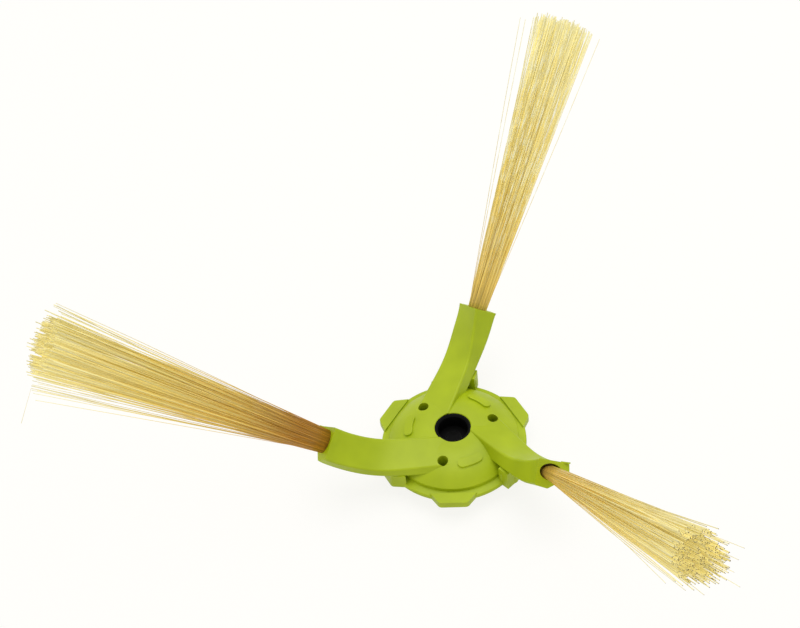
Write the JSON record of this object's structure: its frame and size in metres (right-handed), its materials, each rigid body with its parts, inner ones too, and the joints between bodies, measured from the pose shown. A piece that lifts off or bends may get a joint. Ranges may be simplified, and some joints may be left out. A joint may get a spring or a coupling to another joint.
{
  "type": "vacuum side brush",
  "caption": "Three-armed side brush for a robot vacuum: soft lime-green hub with curved socket arms, black drive core and amber nylon bristle tufts.",
  "frame": {"origin": "on the spin axis, in the plane of the underside on which the brush stands", "axes": "+Z along the spin axis, towards the side that faces the floor in use; the first arm leaves the hub at +Y"},
  "size_m": [0.1265, 0.1432, 0.0599],
  "materials": {
    "lime_elastomer": "satin",
    "black_plastic": "matte",
    "amber_nylon": "satin"
  },
  "bodies": {
    "root": {"hub_moulding": "lime_elastomer", "drive_core": "black_plastic", "bristle_tuft_1": "amber_nylon", "bristle_tuft_2": "amber_nylon", "bristle_tuft_3": "amber_nylon"}
  },
  "joints": []
}
